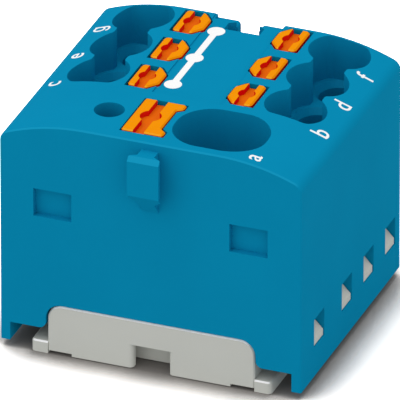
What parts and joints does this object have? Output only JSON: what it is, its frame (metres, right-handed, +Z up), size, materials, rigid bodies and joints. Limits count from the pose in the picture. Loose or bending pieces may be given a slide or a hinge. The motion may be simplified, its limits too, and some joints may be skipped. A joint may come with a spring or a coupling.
{
  "type": "power distribution block",
  "caption": "Compact push-in distribution block: one large supply funnel feeds scalloped outlet funnels, each with a push button, on a snap-in grey base.",
  "frame": {"origin": "middle of the bounding box seen from above, at the height of the underside of the base's flanges", "axes": "+Z up through the funnels, +Y from the joining tab at the front to the socket at the rear, +X to the right seen from the front, along the width"},
  "size_m": [0.027, 0.0254, 0.0219],
  "materials": {
    "housing_blue": "satin moulded polyamide",
    "base_grey": "satin moulded polyamide",
    "button_orange": "moulded, slightly glossy",
    "tinned_copper": "tin-plated strip",
    "spring_steel": "bright strip"
  },
  "bodies": {
    "housing": {"housing": "housing_blue", "base_cover": "base_grey", "current_bar": "tinned_copper", "clamp_spring_a": "spring_steel", "clamp_spring_b": "spring_steel", "clamp_spring_c": "spring_steel", "clamp_spring_d": "spring_steel", "clamp_spring_e": "spring_steel", "clamp_spring_f": "spring_steel", "clamp_spring_g": "spring_steel"},
    "push_a": {"button_a": "button_orange"},
    "push_b": {"button_b": "button_orange"},
    "push_c": {"button_c": "button_orange"},
    "push_d": {"button_d": "button_orange"},
    "push_e": {"button_e": "button_orange"},
    "push_f": {"button_f": "button_orange"},
    "push_g": {"button_g": "button_orange"}
  },
  "joints": [
    {"name": "press_a", "type": "slide", "parent": "housing", "child": "push_a", "axis": [0, 0, -1], "range_m": [0, 0.0012], "stiffness_N_per_m": 12000, "deforming": ["clamp_spring_a"]},
    {"name": "press_b", "type": "slide", "parent": "housing", "child": "push_b", "axis": [0, 0, -1], "range_m": [0, 0.0012], "stiffness_N_per_m": 8000, "deforming": ["clamp_spring_b"]},
    {"name": "press_c", "type": "slide", "parent": "housing", "child": "push_c", "axis": [0, 0, -1], "range_m": [0, 0.0012], "stiffness_N_per_m": 8000, "deforming": ["clamp_spring_c"]},
    {"name": "press_d", "type": "slide", "parent": "housing", "child": "push_d", "axis": [0, 0, -1], "range_m": [0, 0.0012], "stiffness_N_per_m": 8000, "deforming": ["clamp_spring_d"]},
    {"name": "press_e", "type": "slide", "parent": "housing", "child": "push_e", "axis": [0, 0, -1], "range_m": [0, 0.0012], "stiffness_N_per_m": 8000, "deforming": ["clamp_spring_e"]},
    {"name": "press_f", "type": "slide", "parent": "housing", "child": "push_f", "axis": [0, 0, -1], "range_m": [0, 0.0012], "stiffness_N_per_m": 8000, "deforming": ["clamp_spring_f"]},
    {"name": "press_g", "type": "slide", "parent": "housing", "child": "push_g", "axis": [0, 0, -1], "range_m": [0, 0.0012], "stiffness_N_per_m": 8000, "deforming": ["clamp_spring_g"]}
  ]
}
